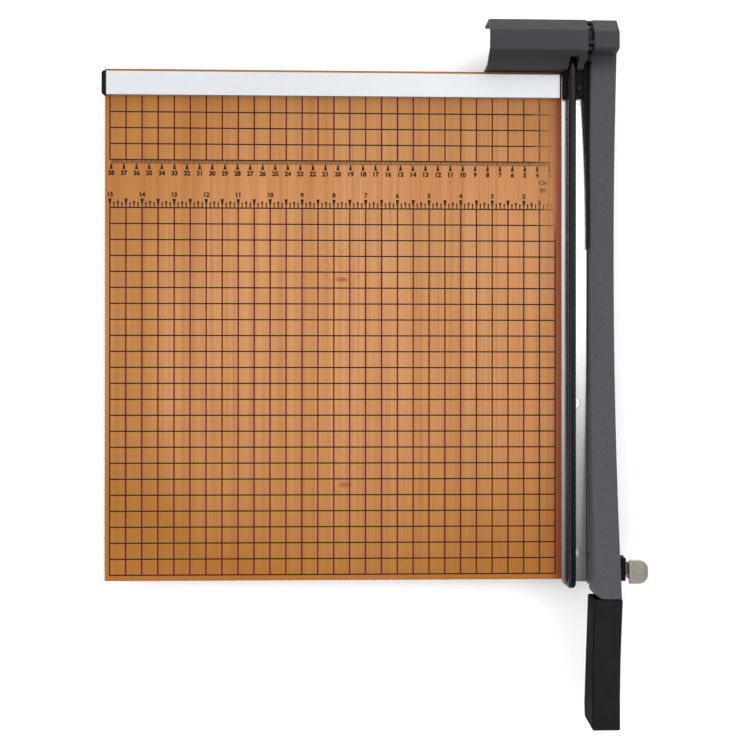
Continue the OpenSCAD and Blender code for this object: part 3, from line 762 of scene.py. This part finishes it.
def pivot_housing():
    """The coated hood over the pivot nut, and the foot that holds its front corner to the board, coloured
    black as painted shade.
    """
    hood_right = housing_hi.x - FOOT_PROUD
    bends = [0, 2.5, 2.5, SHELL_BEND, SHELL_BEND, SHELL_BEND, 0]
    outer = rounded(shell_outline(0.0), bends, 5)
    inner = rounded(shell_outline(HOUSING_WALL), bends, 5)
    shell = soften(prism(outer + inner[::-1], housing_lo.x, hood_right, side), 0.5, 50)
    webs = []
    for x, thick in ((hood_right - WEB_OUTER, WEB_OUTER - 0.3), (INNER_WEB_X, WEB_INNER)):
        webs.append(prism(rounded(shell_outline(0.6), bends, 5), x, x + thick, side))
    foot = soften(block((plate_lo.x + 0.4, BOARD_DEPTH - FOOT_DEPTH, 0.0),
                        (housing_hi.x, BOARD_DEPTH - SEAM, GUARD_GAP)), 0.8)
    body = union(shell, *webs)
    slot_left, slot_right = guard_lo.x - GUARD_SLOT, guard_hi.x + GUARD_SLOT
    slot = block((slot_left, BOARD_DEPTH - 1, GUARD_GAP), (slot_right, guard_hi.y + 1.5, 27.0))
    foot_screw_lo, foot_screw_hi = span("housing_foot_screw")
    foot_screw_mid = (foot_screw_lo + foot_screw_hi) / 2
    bore = rod("x", housing_lo.x - 1, housing_hi.x + 1, BUSHING_R, (0, PIVOT_Y, PIVOT_RISE))
    foot_hole = rod("z", -2, GUARD_GAP + 1, WOOD_SCREW_HOLE_R, foot_screw_mid, 24)
    piece("housing_hood", cut(body, slot, bore), "root", "coated_casting", ["pivot_housing"], crease=38)
    # Painted shade: the foot is part of the coated casting but is coloured black, standing in for the shade
    # it sits in
    piece("housing_foot", cut(foot, foot_hole), "root", "moulded_black", ["pivot_housing"], crease=38)


# ---- Arm ----

DIP_Y = 258.0                  # where the bowed edges are lowest
TOP_DIP, TOP_BOW = 4.8, 1190.0
UNDER_DIP, UNDER_BOW = -17.0, 1690.0
BLADE_DIP, BLADE_BOW, BLADE_WIDTH = -24.0, 1634.0, 20.0
NOSE_ROUND = 6.5
ARM_ROUND = 1.8
ARM_LEFT, ARM_RIGHT = 0.8, 21.3
HUB_LEFT, HUB_RIGHT = 0.0, shaft_hi.x + 0.6
HUB_FRONT = BOARD_DEPTH + 10
NOSE_Y = grip_hi.y
BLADE_POCKET = 0.1
FLARE_FRONT, FLARE_REAR, FLARE_BOW = 265.0, BOARD_DEPTH + 8, 1860.0
FLARE_REACH = -4.2             # how far left the flare may go
FLARE_LOW, FLARE_HIGH = 1.5, 7.0
NOSE_EASE = ((0.0, 0.9), (0.3, 0.25))   # set back and inset of the nose's first two sections


def bow(y, dip, radius):
    """The rise of a bowed edge at y."""
    return dip + radius - math.sqrt(radius ** 2 - (y - DIP_Y) ** 2)


def arm_section(y, left, right, inset=0.0):
    """The bar's section at y, between its bowed upper and lower edges."""
    low, high = bow(y, UNDER_DIP, UNDER_BOW) + inset, bow(y, TOP_DIP, TOP_BOW) - inset
    return rounded([(left + inset, low), (right - inset, low), (right - inset, high), (left + inset, high)],
                   ARM_ROUND, 4)


def arm_casting():
    """The cast bar with its hub, recessed for the blade, and the flare at its heel, coloured black as painted
    shade.
    """
    rings = []
    nose_steps = 8
    for k in range(nose_steps):
        turn = math.pi / 2 * k / nose_steps
        y = NOSE_Y + NOSE_ROUND * (1 - math.cos(turn))
        left = ARM_LEFT + NOSE_ROUND * (1 - math.sin(turn))
        back, inset = NOSE_EASE[k] if k < len(NOSE_EASE) else (0.0, 0.0)
        rings.append((y + back, left, inset))
    steps = 60
    start, end = NOSE_Y + NOSE_ROUND, HUB_FRONT + 3
    rings += [(start + (end - start) * k / steps, ARM_LEFT, 0.0) for k in range(steps + 1)]
    bar = loft([[(u, y, v) for u, v in arm_section(y, left, ARM_RIGHT, inset)] for y, left, inset in rings])

    hub_outline = [(HUB_FRONT - 4, 13.9), (HUB_FRONT, 16.0), (HUB_FRONT + 2, 31.0), (BOARD_DEPTH + 26, 31.0),
                   (housing_hi.y, 20.0), (housing_hi.y, 3.0), (BOARD_DEPTH + 29, -8.0), (HUB_FRONT - 4, -9.0)]
    hub_side = rounded(hub_outline, [0, 1.5, 2.0, 2.5, 3.0, 3.0, 3.0, 0], 4)
    hub = soften(prism(hub_side, HUB_LEFT, HUB_RIGHT, side), 1.2, 45)

    flare = [(ARM_LEFT - SEAM, FLARE_REAR), (ARM_LEFT - SEAM, FLARE_FRONT)]
    flare_steps = 24
    for k in range(flare_steps + 1):
        y = FLARE_FRONT + (FLARE_REAR - FLARE_FRONT) * k / flare_steps
        flare.append((max(math.sqrt(FLARE_BOW ** 2 - (y - FLARE_FRONT) ** 2) - FLARE_BOW, FLARE_REACH), y))
    heel = prism(flare, FLARE_LOW, FLARE_HIGH, plan)
    body = union(bar, hub)

    pocket_dip, pocket_bow = BLADE_DIP + BLADE_WIDTH + BLADE_POCKET, BLADE_BOW - BLADE_WIDTH - BLADE_POCKET
    band = []
    band_steps = 48
    for k in range(band_steps + 1):
        y = blade_lo.y - BLADE_POCKET + (blade_hi.y - blade_lo.y + 2 * BLADE_POCKET) * k / band_steps
        band.append((y, bow(y, pocket_dip, pocket_bow)))
    band += [(blade_hi.y + BLADE_POCKET, -60.0), (blade_lo.y - BLADE_POCKET, -60.0)]
    recess = prism(band, -1.0, blade_hi.x, side)
    head_r = (shaft_hi.y - shaft_lo.y) / 2
    counterbore = rod("x", HUB_RIGHT - 5.4, HUB_RIGHT + 1, head_r + 0.05, (0, PIVOT_Y, PIVOT_RISE))
    bore = rod("x", HUB_LEFT - 1, HUB_RIGHT, 6.05, (0, PIVOT_Y, PIVOT_RISE))
    set_screw = rod("y", PIVOT_Y, housing_hi.y + 1, 2.55, (10, 0, PIVOT_RISE), 32)
    body = cut(body, recess, bore, counterbore, set_screw)
    piece("cast_arm", body, "arm", "coated_casting", ["arm_casting"], crease=34)
    # Painted shade: the flare is part of the casting but is coloured black, standing in for the shade under
    # the arm's left edge
    piece("heel_flare", soften(heel, 0.3, 50), "arm", "moulded_black", ["arm_casting"], crease=34)


EDGE_GRIND = 4.0               # height of the ground bevel along the cutting edge
EDGE_LAND = 0.25
BLADE_SCREW_YS = [20.0 + 88.0 * k for k in range(5)]


def blade():
    """The blade strip: a bowed bar with its outer face ground back to the cutting edge."""
    rings = []
    steps = 80
    for k in range(steps + 1):
        y = blade_lo.y + (blade_hi.y - blade_lo.y) * k / steps
        low = bow(y, BLADE_DIP, BLADE_BOW)
        high = bow(y, BLADE_DIP + BLADE_WIDTH, BLADE_BOW - BLADE_WIDTH)
        section = [(blade_lo.x, low), (blade_lo.x + EDGE_LAND, low), (blade_hi.x, low + EDGE_GRIND),
                   (blade_hi.x, high), (blade_lo.x + 0.3, high), (blade_lo.x, high - 0.3)]
        rings.append([(u, y, v) for u, v in section])
    strip = loft(rings)
    sinks = []
    for y in BLADE_SCREW_YS:
        rise = bow(y, BLADE_DIP + 14, BLADE_BOW - 10)
        sinks.append(turned([(0.01, -1), (3.65, -1), (3.65, 0.4), (2.05, 2.0), (2.05, 4), (0.01, 4)],
                            (blade_lo.x, y, rise), "x", 32))
    strip = cut(strip, *sinks)
    piece("ground_blade", strip, "arm", "blade_steel", ["blade"], crease=20)


# ---- Grip ----

GRIP_ROUND = 1.5


def handle_grip():
    """The moulded grip, with holes for its two screws."""
    tip, nose = grip_lo.y, grip_hi.y
    outline = [(nose, 34.4), (nose - 22, 30.6), (nose - 50, 26.2), (nose - 80, 24.2), (tip, 25.0),
               (tip + 3, -9.0), (tip + 14, -10.8), (nose - 50, -4.4), (nose, 4.0)]
    bends = [0, 60, 60, 60, 0, 3.0, 6.0, 60, 0]
    grip = soften(prism(rounded(outline, bends, 5), grip_lo.x, grip_hi.x, side), GRIP_ROUND, 40, 3)
    for y, rise in ((nose - 24, 15.0), (nose - 69, 7.5)):
        grip = cut(grip, rod("x", ARM_RIGHT - 2, grip_hi.x + 1, 4.0, (0, y, rise), 40))
    piece("moulded_grip", grip, "arm", "grip_black", ["handle_grip"], crease=40)


# ---- Latch ----

LEVER_PLATE_X = ARM_RIGHT + 9.7
LEVER_FRONT, LEVER_BACK = 1.5, 14.5
TAB_RISE, TAB_T = 13.0, 1.8
TAB_MID_Y, TAB_WIDTH = 7.5, 19.0
BARREL_R = 3.4


def tab_outline(inset):
    """The thumb tab from above: square at the bend, rounded outside."""
    left, right = LEVER_PLATE_X + inset, lever_hi.x - inset
    half = TAB_WIDTH / 2 - inset
    corner = half * 0.78
    return rounded([(left, TAB_MID_Y - half), (right, TAB_MID_Y - half), (right, TAB_MID_Y + half),
                    (left, TAB_MID_Y + half)], [0.8, corner, corner, 0.8], 10)


def latch_lever():
    """The nickel lever: a plate with a dished thumb tab, a tongue below, and a barrel on the pin."""
    left, right = LEVER_PLATE_X, LEVER_PLATE_X + TAB_T
    plate = soften(block((left, LEVER_FRONT, lever_lo.z), (right, LEVER_BACK, TAB_RISE + 3)), 0.5)
    tab = soften(prism(tab_outline(0.0), TAB_RISE, TAB_RISE + TAB_T, plan), 0.5, 50)
    dish = prism(tab_outline(1.5), TAB_RISE + TAB_T - 0.7, TAB_RISE + TAB_T + 1, plan)
    tongue = soften(block((lever_lo.x, LEVER_FRONT, lever_lo.z),
                          (right - 0.4, LEVER_BACK - 3.5, lever_lo.z + 2)), 0.4)
    pin_x, pin_rise = (pin_lo.x + pin_hi.x) / 2, (pin_lo.z + pin_hi.z) / 2
    washer_back = span("latch_friction_washer")[1].y
    barrel = (washer_back + 0.4, pin_hi.y - 1.6 - 4.0 - 0.5)
    tube = rod("y", barrel[0], barrel[1], BARREL_R, (pin_x, 0, pin_rise), 40)
    links = [block((pin_x, barrel[0], low), (left + 0.6, barrel[1], low + 2.0))
             for low in (pin_rise - BARREL_R, pin_rise + BARREL_R - 2.0)]
    body = union(plate, cut(tab, dish), tongue, tube, *links)
    hole = rod("y", barrel[0] - 1, barrel[1] + 1, 1.65, (pin_x, 0, pin_rise), 32)
    body = cut(body, hole)
    piece("thumb_lever", body, "latch", "latch_nickel", ["latch_lever"], crease=34)


# ---- Feet and spring ----

FOOT_R, FOOT_SCREW_R = 12.0, 4.0


def rubber_feet():
    """Four turned feet, each with a rounded sole, a grip groove and a pocket for its screw."""
    top, low = feet_hi.z, feet_lo.z
    height = top - low
    profile = [(5.0, low + 5), (5.0, low + 0.4), (5.4, low), (6.6, low), (7.0, low + 0.5), (7.6, low + 0.5),
               (8.0, low), (8.9, low), (9.7, low + 0.3), (10.1, low + 1.0), (10.6, low + height * 0.5),
               (11.5, top - 1.2), (FOOT_R, top - 0.7), (FOOT_R, top), (WOOD_SCREW_HOLE_R, top),
               (WOOD_SCREW_HOLE_R, low + 5)]
    screw_lo, screw_hi = span("foot_screws")
    places = [(x, y) for x in (screw_lo.x + FOOT_SCREW_R, screw_hi.x - FOOT_SCREW_R)
              for y in (screw_lo.y + FOOT_SCREW_R, screw_hi.y - FOOT_SCREW_R)]
    feet = [turned(profile, (x, y, 0), "z", 56) for x, y in places]
    piece("turned_feet", joined(*feet), "root", "rubber", ["rubber_feet"], crease=50)


SPRING_WIRE, SPRING_MEAN, SPRING_TURNS = 1.5, 8.5, 4


def tension_spring():
    """A smooth coil of round wire."""
    sides, per_turn = 16, 36
    start, end = spring_lo.x + SPRING_WIRE, spring_hi.x - SPRING_WIRE
    rings = []
    for k in range(SPRING_TURNS * per_turn + 1):
        turn = k / (SPRING_TURNS * per_turn)
        a = 2 * math.pi * SPRING_TURNS * turn
        ring = []
        for i in range(sides):
            b = 2 * math.pi * i / sides
            r = SPRING_MEAN + SPRING_WIRE * math.cos(b)
            ring.append((start + (end - start) * turn + SPRING_WIRE * math.sin(b), PIVOT_Y + r * math.sin(a),
                         PIVOT_RISE + r * math.cos(a)))
        rings.append(ring)
    piece("coil_spring", loft(rings), "arm", "spring_steel", ["tension_spring"], crease=50)


printing()
bed_plate()
finger_guard()
pivot_housing()
arm_casting()
blade()
handle_grip()
latch_lever()
rubber_feet()
tension_spring()

# ---- CAD nodes that stay ----

EDGE_RADII = {"base_board": 0.8, "ruler_bar": 0.5, "ruler_end_cap": 0.6, "latch_bracket": 0.7,
              "latch_keeper": 0.4, "lock_nut": 0.5, "pivot_shaft": 0.4, "spring_washer": 0.3}
SMALL_EDGE = 0.15
WELD_DISTANCE = 0.002

for part in frame["record"]["subparts"]:
    node = frame["nodes"][part["node"]]
    if node.hide_render:
        continue
    node.material_slots[0].material = MATERIALS[part["material_slot"]]
    weld = node.modifiers.new("weld", "WELD")
    weld.merge_threshold = WELD_DISTANCE * MM
    flat = node.modifiers.new("merge_flat_faces", "DECIMATE")
    flat.decimate_type = "DISSOLVE"
    flat.angle_limit = math.radians(1)
    round_edges(node, EDGE_RADII.get(part["node"], SMALL_EDGE))

# ---- Camera, light and floor ----

CAMERA_OVER_BOARD = 1073.7     # millimetres from the top of the board to the lens
CAMERA_X, CAMERA_Y = -210.81, 161.14
CAMERA_TILT = (0.139, -2.161, 0.032)
LENS = 64.5

camera = bpy.data.objects.new("camera", bpy.data.cameras.new("camera"))
camera.data.lens = LENS
camera.data.sensor_width = 36.0
camera.location = TO_FRAME @ Vector((CAMERA_X, CAMERA_Y, CAMERA_OVER_BOARD))
camera.rotation_euler = Euler([math.radians(a) for a in CAMERA_TILT])
scene.collection.objects.link(camera)
scene.camera = camera
scene.view_settings.view_transform = "Standard"


def softbox(name, centre, target, size, power):
    """A rectangular area light that faces a point; centre, target and size are in metres."""
    light = bpy.data.lights.new(name, "AREA")
    light.shape = "RECTANGLE"
    light.size, light.size_y = size
    light.energy = power
    obj = bpy.data.objects.new(name, light)
    obj.location = centre
    obj.rotation_euler = (Vector(target) - Vector(centre)).to_track_quat("-Z", "Y").to_euler()
    scene.collection.objects.link(obj)


softbox("right_bank", (0.82, 0.57, 1.13), (0.82, 0.57, 0.0), (1.06, 1.2), 5.8)
softbox("left_bank", (-1.4, -0.35, 1.2), (0.0, -0.1, 0.0), (1.2, 1.6), 15)
softbox("rear_bank", (0.0, 1.5, 0.6), (0.0, 0.2, 0.05), (2.6, 0.8), 10)

world = bpy.data.worlds.new("studio")
world.use_nodes = True
# How strong the light is in front and at the rear
WALL_FRONT, WALL_REAR = 1.2, 1.45
CEILING_FRONT, CEILING_REAR = 0.02, 2.0


def studio_walls():
    """Pale walls all round, brighter at the rear, under a dark ceiling that the polished plate reflects."""
    tree = world.node_tree
    direction = tree.nodes.new("ShaderNodeTexCoord").outputs["Generated"]
    split = tree.nodes.new("ShaderNodeSeparateXYZ")
    tree.links.new(direction, split.inputs[0])

    def fade(axis, span_of_axis, ends):
        """A smooth change between two strengths, along one axis of the direction looked in."""
        level = tree.nodes.new("ShaderNodeMapRange")
        level.interpolation_type = "SMOOTHSTEP"
        tree.links.new(split.outputs[axis], level.inputs["Value"])
        for ends_of, pair in (("From", span_of_axis), ("To", ends)):
            for end, value in zip(("Min", "Max"), pair):
                socket = level.inputs[f"{ends_of} {end}"]
                if isinstance(value, float):
                    socket.default_value = value
                else:
                    tree.links.new(value, socket)
        return level.outputs["Result"]

    walls = fade("Y", (-0.8, 0.8), (WALL_FRONT, WALL_REAR))
    ceiling = fade("Y", (-0.25, 0.2), (CEILING_FRONT, CEILING_REAR))
    light = fade("Z", (0.8, 0.95), (walls, ceiling))
    sky = tree.nodes["Background"]
    sky.inputs["Color"].default_value = (0.95, 0.97, 1.0, 1)
    tree.links.new(light, sky.inputs["Strength"])


studio_walls()
scene.world = world


def floor():
    """A wide pale floor that stays on the stage and isn't part of the object."""
    finish = Finish("pale_floor", (0.97, 0.97, 0.97), 0.8)
    patch = finish.noise(400.0, 2.0)
    finish.colour(finish.blend(patch, (0.89, 0.89, 0.89), (0.91, 0.91, 0.91)))
    bm = bmesh.new()
    bmesh.ops.create_grid(bm, x_segments=8, y_segments=8, size=4.0)
    mesh = bpy.data.meshes.new("floor")
    bm.to_mesh(mesh)
    bm.free()
    mesh.materials.append(finish.material)
    obj = bpy.data.objects.new("floor", mesh)
    scene.collection.objects.link(obj)


floor()
